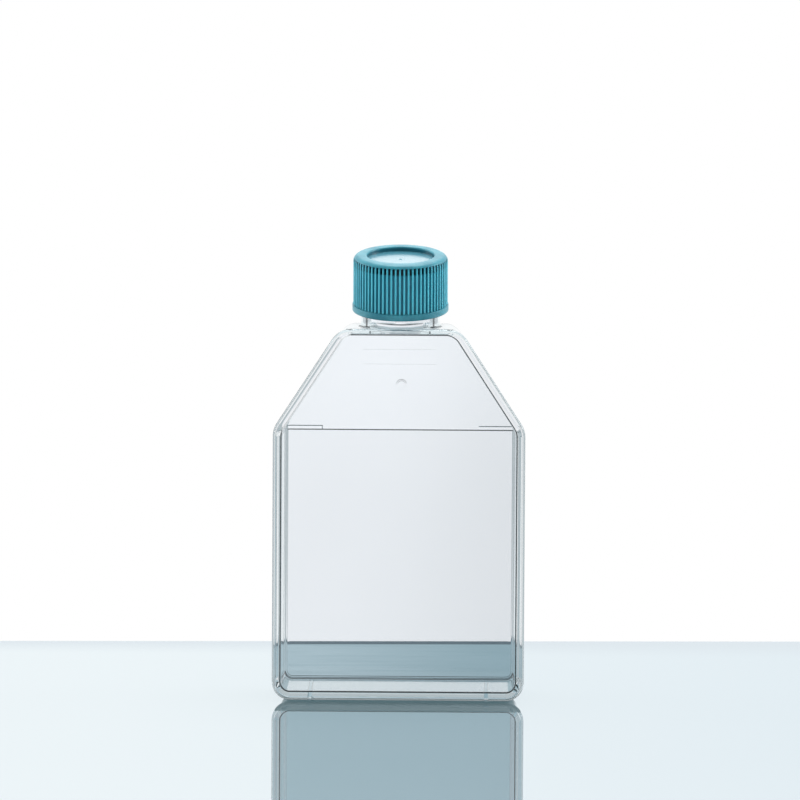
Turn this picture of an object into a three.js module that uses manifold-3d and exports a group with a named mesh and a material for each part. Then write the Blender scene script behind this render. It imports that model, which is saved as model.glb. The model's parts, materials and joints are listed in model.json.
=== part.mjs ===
// A 75 cm2 cell culture flask with a canted neck and a ribbed screw cap, standing on its end wall.
// Millimetres, +Z up, +X to the right, +Y from the lid to the growth plate.
// The origin is the middle of the footprint, on the surface that the flask stands on.

import * as THREE from 'three';
import { mergeVertices } from 'three/addons/utils/BufferGeometryUtils.js';
import Module from 'manifold-3d';

const wasm = await Module();
wasm.setup();

// ---- Outline of the flask, seen from the front ----
const bodyWidth = 83.3;
const hipHeight = 90.3; // where the upright sides turn inward
const shoulderHeight = 123.5; // top of the lid's outline
const slopeAngle = 33.1; // degrees between the sloping sides and the vertical
const footRadius = 6;
const hipRadius = 8;
const shoulderRadius = 8;
const standGap = 0.4; // the lid's lower edge clears the table by this much

// ---- Tray: growth plate, side walls, end walls ----
const bodyDepth = 36.5; // from the lid's rim to the feet of the growth plate
const wall = 1.45;
const growthPlate = 1.6;
const draftAngle = 1.3; // degrees, the tray narrows toward the growth plate
const shoulderWall = 2.2; // end wall that carries the neck
const shoulderSetback = 0.3; // end wall below the lid's outline
const outerEdgeRadius = 0.8; // growth plate to side walls, outside
const innerEdgeRadius = 0.9; // growth plate to side walls, inside

// ---- Weld flange round the tray's mouth, with a groove for the lid's tongue ----
const flangeReach = 1.1; // how far it stands out from the wall
const flangeThickness = 1.6;
const tongueInset = 1.3; // from the outline to the tongue
const tongueWidth = 0.6;
const tongueHeight = 0.5;
const tongueClearance = 0.1;

// ---- Ramp that lifts the growth plate to the neck ----
const rampStart = 87.4;
const rampDam = 0.8; // the bore's edge stands this far above the end of the ramp

// ---- Feet ----
const footRimHeight = 0.5; // rim round the growth plate's outer face
const footRimWidth = 1.2;
const footRimReturn = 1; // height of the rim's short returns above the ramp's start
const footRimOpening = 52.5; // clear width between the two returns
const standRibSpacing = 58.4; // two ribs under the lower end wall
const standRibWidth = 1.3;
const standRibEnd = 1.5; // the ribs stop this far short of the growth plate's edge

// ---- Lid ----
const lidPanel = 1.6;
const lidRimHeight = 1;
const lidRimWidth = 3;
const lidEdgeRadius = 0.5;

// ---- Neck, measured along its own axis from the shoulder ----
const cantAngle = 10.5; // degrees, leaning toward the lid
const neckOffset = 1.5; // from the flask's middle plane toward the growth plate
const neckLength = 19.7;
const boreDiameter = 21.9;
const collarDiameter = 26.3;
const collarLength = 7.4;
const finishDiameter = 25; // above the collar, under the thread
const neckRootRadius = 1.2;
const neckLedge = 1; // shoulder left behind the neck
const rimChamfer = 0.4;

// ---- Thread ----
const threadPitch = 4;
const threadDepth = 1.1;
const threadRoot = 1.5; // width of the ridge where it leaves the wall
const threadCrest = 0.9;
const neckThreadStart = 9.2; // height of the ridge's lower end above the shoulder
const neckThreadTurns = 2;
const threadCrestGap = 0.55; // from the ridge to the cap's skirt
const threadFade = 0.125; // turns over which the ridge runs out at each end

// ---- Cap ----
const capDiameter = 31.3; // over the ribs
const capHeight = 18.75;
const capBandDiameter = 31.9;
const capBandHeight = 2.1;
const capEdgeRadius = 2; // the ribs run up into this rounding
const ribCount = 68;
const ribCrestShare = 0.15; // half widths of a rib at its crest and root, as shares of the rib spacing
const ribRootShare = 0.3;
const grooveDepth = 0.42;
const pocketDepth = 0.47; // deeper upper end of each groove
const pocketHeight = 2.5;
const ribTopGap = 0.65; // from the ribs' upper end to the top of the cap
const ribClearance = 0.03; // rib crests stay this far inside the faceted crown below its rounding
const recessDiameter = 22.2;
const recessDepth = 1.55;
const recessEdgeRadius = 0.5;
const capDeck = 1.6; // thickness of the recess floor
const capMouthChamfer = 0.45;

// ---- Liner that seals the neck's rim ----
const linerThickness = 0.9;
const linerClearance = 0.45; // to the skirt, all round
const seatGap = 0.3; // rim to liner, and liner to deck

// ---- Fineness ----
const cornerSteps = 3; // three.js gives each arc twice this many segments
const filletSteps = 3;
const roundSegments = 80;
const boreSegments = 64;
const capSegments = 68;
const threadStepsPerTurn = 40;

// ---- Places that follow from the sizes above ----
const rad = THREE.MathUtils.degToRad;
const front = -bodyDepth / 2;
const weldPlane = front + lidRimHeight + lidPanel;
const plateOuter = bodyDepth / 2 - footRimHeight;
const plateInner = plateOuter - growthPlate;
const shoulderTop = shoulderHeight - shoulderSetback;
const boreRadius = boreDiameter / 2;
const collarRadius = collarDiameter / 2;
const finishRadius = finishDiameter / 2;
const cutMargin = 5; // cutters reach this far past what they cut
const weldOverlap = 0.3; // parts of one moulding run this far into each other
const neckBack = (radius) => neckOffset + radius / Math.cos(rad(cantAngle));
const capFloor = capHeight - recessDepth - capDeck; // underside of the deck, above the cap's edge
const neckRimInCap = capFloor - 2 * seatGap - linerThickness;
const capStand = neckLength - neckRimInCap; // from the shoulder to the cap's lower edge
const neckThreadRadius = finishRadius + threadDepth;
const skirtRadius = neckThreadRadius + threadCrestGap; // inside the skirt

// ---- Solids from geometries and back ----

function solid(geometry) {
  const bare = geometry.clone();
  bare.deleteAttribute('normal');
  bare.deleteAttribute('uv');
  const merged = mergeVertices(bare, 1e-5);
  return new wasm.Manifold(new wasm.Mesh({
    numProp: 3,
    vertProperties: new Float32Array(merged.attributes.position.array),
    triVerts: new Uint32Array(merged.index.array),
  }));
}

function geometryOf(manifold) {
  const mesh = manifold.getMesh();
  const geometry = new THREE.BufferGeometry();
  geometry.setAttribute('position', new THREE.BufferAttribute(new Float32Array(mesh.vertProperties), 3));
  geometry.setIndex(new THREE.BufferAttribute(new Uint32Array(mesh.triVerts), 1));
  return geometry;
}

function join(...solids) {
  return solids.reduce((whole, next) => whole.add(next));
}

/** A box from its lowest to its highest corner. */
function block([x0, y0, z0], [x1, y1, z1]) {
  const box = new THREE.BoxGeometry(x1 - x0, y1 - y0, z1 - z0);
  return solid(box.translate((x0 + x1) / 2, (y0 + y1) / 2, (z0 + z1) / 2));
}

/** A closed skin over rings that have equally many points, each a flat convex polygon. */
function skin(rings) {
  const count = rings[0].length;
  const positions = rings.flat().flatMap((p) => [p.x, p.y, p.z]);
  const index = [];
  for (let r = 0; r + 1 < rings.length; r++) {
    for (let i = 0; i < count; i++) {
      const a = r * count + i;
      const b = r * count + (i + 1) % count;
      index.push(a, b, b + count, a, b + count, a + count);
    }
  }
  const last = (rings.length - 1) * count;
  for (let i = 1; i + 1 < count; i++) {
    index.push(0, i + 1, i, last, last + i, last + i + 1);
  }
  const geometry = new THREE.BufferGeometry();
  geometry.setAttribute('position', new THREE.Float32BufferAttribute(positions, 3));
  geometry.setIndex(index);
  return solid(geometry);
}

/** A turned solid about Z. The profile is [radius, height] points from the axis back to the axis. */
function turned(profile, segments) {
  const points = profile.map(([r, h]) => new THREE.Vector2(r, h));
  return solid(new THREE.LatheGeometry(points, segments).rotateX(Math.PI / 2));
}

/** Profile points of a quarter round from the direction `from` to `to`, in degrees. */
function arc(r, h, radius, from, to) {
  return Array.from({ length: filletSteps + 1 }, (_, i) => {
    const angle = rad(from + (to - from) * i / filletSteps);
    return [r + radius * Math.cos(angle), h + radius * Math.sin(angle)];
  });
}

// ---- The six-sided outline ----

/** A closed shape with rounded corners, each given as x, z and radius, anticlockwise. */
function roundedPolygon(corners) {
  const shape = new THREE.Shape();
  const at = (i) => corners[(i + corners.length) % corners.length];
  corners.forEach((corner, i) => {
    const here = new THREE.Vector2(corner.x, corner.z);
    const toPrevious = new THREE.Vector2(at(i - 1).x, at(i - 1).z).sub(here).normalize();
    const toNext = new THREE.Vector2(at(i + 1).x, at(i + 1).z).sub(here).normalize();
    const half = Math.acos(toPrevious.dot(toNext)) / 2;
    const middle = toPrevious.clone().add(toNext).normalize();
    const centre = here.clone().addScaledVector(middle, corner.radius / Math.sin(half));
    const start = new THREE.Vector2(-toPrevious.y, toPrevious.x).angle();
    const turn = Math.PI - 2 * half;
    shape.absarc(centre.x, centre.y, corner.radius, start, start + turn, false);
  });
  return shape;
}

/** The flask's outline, drawn in by `inset` all round and by `topInset` at the shoulder. */
function outline(inset, topInset = inset) {
  const slope = rad(slopeAngle);
  const side = bodyWidth / 2 - inset;
  const foot = standGap + inset;
  const hip = hipHeight - inset * Math.tan(slope / 2);
  const top = shoulderHeight - topInset;
  const shoulder = side - (top - hip) * Math.tan(slope);
  const right = [
    { x: side, z: foot, radius: footRadius - inset },
    { x: side, z: hip, radius: hipRadius - inset },
    { x: shoulder, z: top, radius: shoulderRadius - inset },
  ];
  const left = right.toReversed().map((c) => ({ ...c, x: -c.x }));
  return roundedPolygon([...right, ...left]);
}

/** A solid through outlines at several depths, from back to front. */
function loft(sections) {
  return skin(sections.map(({ y, inset, topInset }) => {
    const points = outline(inset, topInset).getPoints(cornerSteps);
    const first = points[0];
    if (points.at(-1).distanceTo(first) < 1e-6) points.pop();
    return points.map((p) => new THREE.Vector3(p.x, y, p.y));
  }));
}

/** A straight slab of the outline between two depths. */
function slab(inset, topInset, back, forward) {
  return loft([{ y: back, inset, topInset }, { y: forward, inset, topInset }]);
}

// ---- Flask body: tray and neck, one moulding ----

/** How far the drafted wall is drawn in at depth y. */
function draftInset(y) {
  return flangeReach + (y - weldPlane) * Math.tan(rad(draftAngle));
}

/** A drafted tray solid whose back edge is rounded, running past the weld plane in front. */
function drafted(back, thickness, topInset, edgeRadius) {
  const rounded = arc(0, 0, edgeRadius, 90, 0).map(([out, up]) => {
    const y = back - edgeRadius + up;
    const drawn = edgeRadius - out;
    return { y, inset: draftInset(y) + thickness + drawn, topInset: topInset + drawn };
  });
  const y = weldPlane - cutMargin;
  return loft([...rounded, { y, inset: draftInset(y) + thickness, topInset }]);
}

/** Leans the part above the ramp's start forward, so that its back ends `rise` further in. */
function ramped(tray, rise) {
  const reach = bodyWidth;
  const lower = tray.subtract(block([-reach, -reach, rampStart], [reach, reach, shoulderHeight + reach]));
  const upper = geometryOf(tray.subtract(block([-reach, -reach, -reach], [reach, reach, rampStart])));
  const lean = rise / (shoulderTop - rampStart);
  const position = upper.attributes.position;
  for (let i = 0; i < position.count; i++) {
    position.setY(i, position.getY(i) - lean * (position.getZ(i) - rampStart));
  }
  return join(lower, solid(upper));
}

function inNeckFrame(object) {
  const lean = new THREE.Matrix4().makeRotationX(rad(cantAngle)).setPosition(0, neckOffset, shoulderTop);
  return object.applyMatrix4(lean);
}

/** The neck's turned outside, cut level inside the end wall, with a root fillet that stays on it. */
function neckOutside() {
  const below = collarRadius;
  const stem = turned([
    [0, -below], [collarRadius, -below], [collarRadius, collarLength],
    [finishRadius, collarLength + collarRadius - finishRadius],
    [finishRadius, neckLength - rimChamfer], [finishRadius - rimChamfer, neckLength], [0, neckLength],
  ], roundSegments);
  const flare = turned([
    [0, -weldOverlap], [collarRadius + neckRootRadius, -weldOverlap],
    ...arc(collarRadius + neckRootRadius, neckRootRadius, neckRootRadius, 270, 180), [0, neckRootRadius],
  ], roundSegments);
  const level = new THREE.Matrix4().setPosition(0, neckOffset, shoulderTop);
  const base = shoulderTop - weldOverlap;
  const reach = bodyWidth;
  const aboveBase = block([-reach, -reach, base], [reach, reach, base + reach]);
  const overShoulder = block([-reach, -reach, base], [reach, neckBack(collarRadius), base + reach]);
  return join(
    solid(inNeckFrame(geometryOf(stem))).intersect(aboveBase),
    solid(geometryOf(flare).applyMatrix4(level)).intersect(overShoulder),
  );
}

/** The helical ridge on the neck, whose ends run out into the wall it stands on. */
function neckThread() {
  const steps = neckThreadTurns * threadStepsPerTurn;
  const fade = threadStepsPerTurn * threadFade;
  const rings = Array.from({ length: steps + 1 }, (_, i) => {
    const angle = 2 * Math.PI * i / threadStepsPerTurn;
    const height = neckThreadStart + threadPitch * i / threadStepsPerTurn;
    const strength = Math.min(1, (i + 1) / fade, (steps - i + 1) / fade);
    const inner = finishRadius - weldOverlap;
    const outer = finishRadius + threadDepth * strength;
    const ring = [[inner, -threadRoot / 2], [outer, -threadCrest / 2], [outer, threadCrest / 2],
      [inner, threadRoot / 2]];
    return ring.map(([r, h]) => new THREE.Vector3(r * Math.cos(angle), r * Math.sin(angle), height + h));
  });
  return solid(inNeckFrame(geometryOf(skin(rings))));
}

function bore() {
  const low = -shoulderWall - boreRadius * Math.tan(rad(cantAngle)) - weldOverlap;
  const high = neckLength + cutMargin;
  const core = turned([[0, low], [boreRadius, low], [boreRadius, high], [0, high]], boreSegments);
  return solid(inNeckFrame(geometryOf(core)));
}

/** The raised rim that the flask lies on, round the growth plate's outer face. */
function footRim() {
  const base = plateOuter - weldOverlap;
  const inset = draftInset(plateOuter) + outerEdgeRadius;
  const blank = slab(inset, inset, bodyDepth / 2, base);
  const window = slab(inset + footRimWidth, inset, bodyDepth, base - cutMargin);
  const reach = bodyWidth;
  const opening = footRimOpening / 2;
  const back = bodyDepth;
  return blank
    .subtract(window.subtract(block([-reach, -back, rampStart], [reach, back * 2, 2 * shoulderHeight])))
    .subtract(block([-opening, -back, rampStart - footRimWidth], [opening, back, 2 * shoulderHeight]))
    .subtract(block([-reach, -back, rampStart + footRimReturn], [reach, back, 2 * shoulderHeight]));
}

/** The two ribs under the lower end wall, which carry the flask when it stands. */
function standRibs() {
  const back = plateOuter - standRibEnd;
  const top = standGap + draftInset(plateOuter) + wall / 2;
  return [-1, 1].map((side) => {
    const x = side * standRibSpacing / 2;
    return block([x - standRibWidth / 2, weldPlane + flangeThickness - weldOverlap, 0],
      [x + standRibWidth / 2, back, top]);
  });
}

function flange() {
  return slab(0, 0, weldPlane + flangeThickness, weldPlane);
}

function tongueGroove() {
  const inset = tongueInset - tongueClearance;
  const width = tongueWidth + 2 * tongueClearance;
  const bottom = weldPlane + tongueHeight + tongueClearance;
  return slab(inset, inset, bottom, weldPlane - cutMargin)
    .subtract(slab(inset + width, inset + width, bottom + cutMargin, weldPlane - 2 * cutMargin));
}

function flaskBody() {
  const outerRise = plateOuter - neckBack(collarRadius) - neckLedge;
  const innerRise = plateInner - neckBack(boreRadius) - rampDam;
  const tray = ramped(drafted(plateOuter, 0, shoulderSetback, outerEdgeRadius), outerRise);
  const hollow = ramped(
    drafted(plateInner, wall, shoulderSetback + shoulderWall, innerEdgeRadius), innerRise);
  const reach = bodyWidth;
  const beyondWeld = block([-reach, -reach, -reach], [reach, weldPlane, shoulderHeight + reach]);
  return join(tray.subtract(beyondWeld), flange(), footRim(), ...standRibs(), neckOutside())
    .subtract(hollow)
    .add(neckThread())
    .subtract(bore())
    .subtract(tongueGroove());
}

// ---- Lid: a flat panel inside a raised rim, welded to the flange ----

function topPlate() {
  const edge = arc(0, 0, lidEdgeRadius, 0, 90).map(([out, up]) => {
    const drawn = lidEdgeRadius - out;
    return { y: front + lidEdgeRadius - up, inset: drawn, topInset: drawn };
  });
  const plate = loft([{ y: weldPlane, inset: 0, topInset: 0 }, ...edge]);
  const well = slab(lidRimWidth, lidRimWidth, front + lidRimHeight, front - cutMargin);
  const tongue = slab(tongueInset, tongueInset, weldPlane + tongueHeight, weldPlane - weldOverlap)
    .subtract(slab(tongueInset + tongueWidth, tongueInset + tongueWidth,
      weldPlane + cutMargin, weldPlane - weldOverlap));
  return join(plate.subtract(well), tongue);
}

// ---- Cap ----

/** The ribbed outside between two heights, with grooves of the given depth. */
function ribbed(low, high, depth) {
  const crest = capDiameter / 2;
  const groove = crest - depth;
  const tooth = [[-ribRootShare, groove], [-ribCrestShare, crest],
    [ribCrestShare, crest], [ribRootShare, groove]];
  const points = [];
  for (let rib = 0; rib < ribCount; rib++) {
    for (const [share, radius] of tooth) {
      const angle = 2 * Math.PI * (rib + share) / ribCount;
      points.push(new THREE.Vector2(radius * Math.cos(angle), radius * Math.sin(angle)));
    }
  }
  const skirt = new THREE.ExtrudeGeometry(new THREE.Shape(points), { depth: high - low, bevelEnabled: false });
  return solid(skirt.translate(0, 0, low));
}

/** The cap's turned outside without ribs, with its rounded upper edge and the recess in its top. */
function capCrown() {
  const radius = capDiameter / 2 + ribClearance;
  const recess = recessDiameter / 2;
  const floor = capHeight - recessDepth;
  return turned([
    [0, 0], [radius, 0],
    ...arc(radius - capEdgeRadius, capHeight - capEdgeRadius, capEdgeRadius, 0, 90),
    ...arc(recess + recessEdgeRadius, capHeight - recessEdgeRadius, recessEdgeRadius, 90, 180),
    [recess, floor], [0, floor],
  ], capSegments);
}

/** The cap about its own axis, from its lower edge up. */
function screwCap() {
  const bandRadius = capBandDiameter / 2;
  const ribTop = capHeight - ribTopGap;
  const band = turned([[0, 0], [bandRadius - weldOverlap, 0], [bandRadius, weldOverlap],
    [bandRadius, capBandHeight - weldOverlap], [bandRadius - weldOverlap, capBandHeight],
    [0, capBandHeight]], capSegments);
  const grooves = ribbed(capBandHeight - weldOverlap, ribTop - pocketHeight, grooveDepth);
  const pockets = ribbed(ribTop - pocketHeight - weldOverlap, ribTop + weldOverlap, pocketDepth);
  const crown = capCrown();
  const top = crown.intersect(block([-bandRadius, -bandRadius, ribTop], [bandRadius, bandRadius, capHeight]));
  const inside = turned([[0, -cutMargin], [skirtRadius + capMouthChamfer, -cutMargin],
    [skirtRadius + capMouthChamfer, 0], [skirtRadius, capMouthChamfer],
    [skirtRadius, capFloor], [0, capFloor]], capSegments / 2);
  return join(band, join(grooves, pockets).intersect(crown), top).subtract(inside);
}

/** The disc between the neck's rim and the cap's deck. */
function liner() {
  const radius = skirtRadius - linerClearance;
  const low = neckRimInCap + seatGap;
  const high = low + linerThickness;
  return turned([[0, low], [radius, low], [radius, high], [0, high]], roundSegments);
}

// ---- Materials and assembly ----

function node(name, shape, material) {
  const mesh = new THREE.Mesh(geometryOf(shape), material);
  mesh.name = name;
  return mesh;
}

const clearPolystyrene = new THREE.MeshStandardMaterial({
  color: 0xe6ecf1, roughness: 0.06, metalness: 0, transparent: true, opacity: 0.35,
});
const tealPolyethylene = new THREE.MeshStandardMaterial({ color: 0x4fa3b3, roughness: 0.42, metalness: 0 });
const linerFoam = new THREE.MeshStandardMaterial({ color: 0xf2f3f0, roughness: 0.7, metalness: 0 });

const closure = new THREE.Group();
closure.position.set(0, neckOffset, shoulderTop);
closure.rotation.x = rad(cantAngle);

const capGroup = new THREE.Group();
capGroup.position.z = capStand;
capGroup.add(node('cap', screwCap(), tealPolyethylene), node('cap_liner', liner(), linerFoam));
closure.add(capGroup);

const group = new THREE.Group();
group.add(node('flask_body', flaskBody(), clearPolystyrene), node('top_plate', topPlate(), clearPolystyrene), closure);

export default group;
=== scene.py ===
"""Cell culture flask: clear welded body, ribbed screw cap and liner, on a glossy pale table."""
import json
import logging
import math
from collections.abc import Callable, Iterator, Sequence
from contextlib import contextmanager
from dataclasses import dataclass, field, replace
from enum import Enum

import bmesh
import bpy
from mathutils import Matrix, Vector


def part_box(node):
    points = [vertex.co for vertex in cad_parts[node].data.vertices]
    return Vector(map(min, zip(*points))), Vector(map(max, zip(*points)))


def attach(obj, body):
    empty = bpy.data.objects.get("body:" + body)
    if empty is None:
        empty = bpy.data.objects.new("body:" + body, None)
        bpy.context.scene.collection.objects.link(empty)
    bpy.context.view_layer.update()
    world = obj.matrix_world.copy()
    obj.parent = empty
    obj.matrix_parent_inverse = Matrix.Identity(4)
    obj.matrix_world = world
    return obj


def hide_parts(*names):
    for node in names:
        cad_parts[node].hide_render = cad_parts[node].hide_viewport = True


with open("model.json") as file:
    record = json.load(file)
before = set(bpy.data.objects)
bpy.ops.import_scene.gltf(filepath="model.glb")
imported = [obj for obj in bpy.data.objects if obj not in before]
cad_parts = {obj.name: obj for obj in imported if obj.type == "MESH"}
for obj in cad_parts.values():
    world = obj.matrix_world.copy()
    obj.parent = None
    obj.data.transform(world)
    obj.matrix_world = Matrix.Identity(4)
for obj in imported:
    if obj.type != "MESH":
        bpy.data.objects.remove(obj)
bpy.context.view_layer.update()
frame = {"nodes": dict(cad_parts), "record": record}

MM = 0.001
OVERLAP = 0.3  # how far parts that are joined reach into each other, in millimetres
BESIDE, OVER = 90.0, 200.0  # how far cutters reach beside and above the flask, in millimetres
EDGE_SHADE = "edge_shade"
log = logging.getLogger("flask")

Ring = list[Vector]
Colour = tuple[float, float, float, float]


def paint(red: float, green: float, blue: float) -> Colour:
    """A display colour, each part from 0 to 255, as the linear colour that a shader takes.

    Args:
        red: Red part.
        green: Green part.
        blue: Blue part.

    Returns:
        The linear colour, with an alpha of 1.
    """
    def linear(part: float) -> float:
        """One part as a linear value."""
        share = part / 255
        return share / 12.92 if share <= 0.04045 else ((share + 0.055) / 1.055) ** 2.4

    return (linear(red), linear(green), linear(blue), 1.0)


def grey(level: float) -> Colour:
    """A neutral linear colour."""
    return (level, level, level, 1.0)


def dimmed(colour: Colour, share: float) -> Colour:
    """A colour with its three parts scaled."""
    return (*(part * share for part in colour[:3]), 1.0)


def placed(name: str, data: bpy.types.ID) -> bpy.types.Object:
    """A new object of the data, in the scene."""
    made = bpy.data.objects.new(name, data)
    bpy.context.scene.collection.objects.link(made)
    return made


# ---- Shader expressions ----


class Value:
    """A number socket. Arithmetic on it adds Math nodes."""

    def __init__(self, graph: "Graph", socket: bpy.types.NodeSocket) -> None:
        """Wraps a socket of the graph."""
        self.graph = graph
        self.socket = socket

    def math(self, operation: str, *others: "Value | float") -> "Value":
        """A Math node on this value.

        Args:
            operation: The Math node's operation.
            *others: The node's further inputs.

        Returns:
            The node's output.
        """
        inputs = {str(i): x for i, x in enumerate((self, *others))}
        return self.graph.value("ShaderNodeMath", {"operation": operation}, **inputs)

    def __add__(self, other: "Value | float") -> "Value":
        """self + other."""
        return self.math("ADD", other)

    __radd__ = __add__

    def __mul__(self, other: "Value | float") -> "Value":
        """self * other."""
        return self.math("MULTIPLY", other)

    __rmul__ = __mul__

    def __sub__(self, other: "Value | float") -> "Value":
        """self - other."""
        return self.math("SUBTRACT", other)

    def __rsub__(self, other: float) -> "Value":
        """other - self."""
        return (self * -1.0).math("ADD", other)

    def __truediv__(self, other: "Value | float") -> "Value":
        """self / other."""
        return self.math("DIVIDE", other)

    def __rtruediv__(self, other: float) -> "Value":
        """other / self."""
        return self.math("POWER", -1.0) * other

    def __pow__(self, other: "Value | float") -> "Value":
        """self to the power of other."""
        return self.math("POWER", other)

    def size(self) -> "Value":
        """The value without its sign."""
        return self.math("ABSOLUTE")

    def rise(self, low: float, high: float) -> "Value":
        """A smooth step of this value.

        Args:
            low: Where the step starts, at 0.
            high: Where it ends, at 1.

        Returns:
            The step's output.
        """
        return self.graph.value(
            "ShaderNodeMapRange", {"interpolation_type": "SMOOTHSTEP", "clamp": True},
            Value=self, **{"From Min": low, "From Max": high},
        )

    def or_(self, other: "Value | float") -> "Value":
        """The larger of two values."""
        return self.math("MAXIMUM", other)


class Graph:
    """The node tree of one material or world."""

    def __init__(self, owner: bpy.types.Material | bpy.types.World) -> None:
        """Empties the owner's node tree and works in it."""
        self.owner = owner
        owner.use_nodes = True
        self.tree = owner.node_tree
        self.tree.nodes.clear()

    @classmethod
    def of_material(cls, name: str) -> "Graph":
        """The graph of a new material."""
        return cls(bpy.data.materials.new(name))

    def node(self, kind: str, settings: dict | None = None, **sockets: object) -> bpy.types.Node:
        """Adds a node.

        Args:
            kind: The node's type.
            settings: The node's own settings, which are set first.
            **sockets: Values or links of its inputs, by name or by number.

        Returns:
            The node.
        """
        made = self.tree.nodes.new(kind)
        for name, setting in (settings or {}).items():
            setattr(made, name, setting)
        for name, given in sockets.items():
            socket = made.inputs[int(name)] if name.isdigit() else made.inputs[name]
            if isinstance(given, Value):
                self.tree.links.new(given.socket, socket)
            elif isinstance(given, bpy.types.NodeSocket):
                self.tree.links.new(given, socket)
            else:
                socket.default_value = given
        return made

    def value(self, kind: str, settings: dict | None = None, out: int | str = 0, **sockets: object) -> Value:
        """Adds a node and wraps one of its outputs.

        Args:
            kind: The node's type.
            settings: The node's own settings.
            out: The output, by number or by name.
            **sockets: Values or links of its inputs.

        Returns:
            The wrapped output.
        """
        return Value(self, self.node(kind, settings, **sockets).outputs[out])

    def mix(self, factor: Value | float, first: object, second: object) -> bpy.types.NodeSocket:
        """A colour from first, at factor 0, to second, at factor 1."""
        return self.node("ShaderNodeMix", {"data_type": "RGBA"},
                         **{"0": factor, "6": first, "7": second}).outputs[2]

    def blend(self, factor: Value | float, first: bpy.types.NodeSocket,
              second: bpy.types.NodeSocket) -> bpy.types.NodeSocket:
        """A shader from first, at factor 0, to second, at factor 1."""
        return self.node("ShaderNodeMixShader", **{"0": factor, "1": first, "2": second}).outputs[0]

    def vector(self, operation: str, first: object, second: object) -> bpy.types.NodeSocket:
        """A vector from two others."""
        return self.node("ShaderNodeVectorMath", {"operation": operation},
                         **{"0": first, "1": second}).outputs[0]

    def scaled(self, vector: object, factor: Value) -> bpy.types.NodeSocket:
        """A vector times a number."""
        return self.node("ShaderNodeVectorMath", {"operation": "SCALE"},
                         **{"0": vector, "Scale": factor}).outputs[0]

    def place(self) -> bpy.types.NodeSocket:
        """The point on the object, in metres."""
        return self.node("ShaderNodeTexCoord").outputs["Object"]

    def parts(self, vector: bpy.types.NodeSocket) -> tuple[Value, Value, Value]:
        """The three parts of a vector."""
        split = self.node("ShaderNodeSeparateXYZ", **{"0": vector})
        return tuple(Value(self, out) for out in split.outputs)

    def noise(self, scale: float, stretch: tuple[float, float, float] = (1, 1, 1),
              detail: float = 2.0, roughness: float = 0.5) -> Value:
        """Soft noise over the object.

        Args:
            scale: Waves in a metre.
            stretch: The scale's share along each axis.
            detail: Octaves.
            roughness: How strong the finer octaves are.

        Returns:
            The noise, about 0.5.
        """
        place = self.vector("MULTIPLY", self.place(), stretch)
        return self.value("ShaderNodeTexNoise", out="Fac", Vector=place, Scale=scale, Detail=detail,
                          Roughness=roughness)

    def bump(self, height: Value, distance: float, strength: float = 1.0,
             normal: bpy.types.NodeSocket | None = None) -> bpy.types.NodeSocket:
        """A normal from a height.

        Args:
            height: The height, from 0 to 1.
            distance: What a height of 1 is, in metres.
            strength: How much of it shows.
            normal: The normal under it.

        Returns:
            The bent normal.
        """
        more = {} if normal is None else {"Normal": normal}
        made = self.node("ShaderNodeBump", Height=height, Distance=distance, Strength=strength, **more)
        return made.outputs["Normal"]

    def principled(self, **sockets: object) -> bpy.types.NodeSocket:
        """A Principled shader."""
        return self.node("ShaderNodeBsdfPrincipled", **sockets).outputs[0]

    def glow(self, colour: object) -> bpy.types.NodeSocket:
        """A shader that only glows in a colour."""
        return self.principled(**{"Base Color": grey(0.0), "Specular IOR Level": 0.0,
                                  "Emission Color": colour, "Emission Strength": 1.0})

    def surface(self, shader: bpy.types.NodeSocket, output: str = "ShaderNodeOutputMaterial") -> object:
        """Links the shader to the graph's output.

        Args:
            shader: The shader.
            output: The output node's type.

        Returns:
            The material or world that the graph belongs to.
        """
        self.node(output, Surface=shader)
        return self.owner


class Ray:
    """What a graph knows about the ray that meets it. Each value is 0 or 1."""

    def __init__(self, graph: Graph) -> None:
        """Adds the Light Path node."""
        self.graph = graph
        self.path = graph.node("ShaderNodeLightPath")
        self.camera, self.glossy, self.diffuse = (
            Value(graph, self.path.outputs[f"Is {kind} Ray"]) for kind in ("Camera", "Glossy", "Diffuse")
        )
        self.through = self.past("Transmission", 0)
        self.bounced = self.past("Glossy", 0)

    def past(self, kind: str, count: int) -> Value:
        """1 once the ray's depth of a kind is more than a count."""
        return Value(self.graph, self.path.outputs[f"{kind} Depth"]).rise(count + 0.25, count + 0.75)


# ---- Finishes ----


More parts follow.
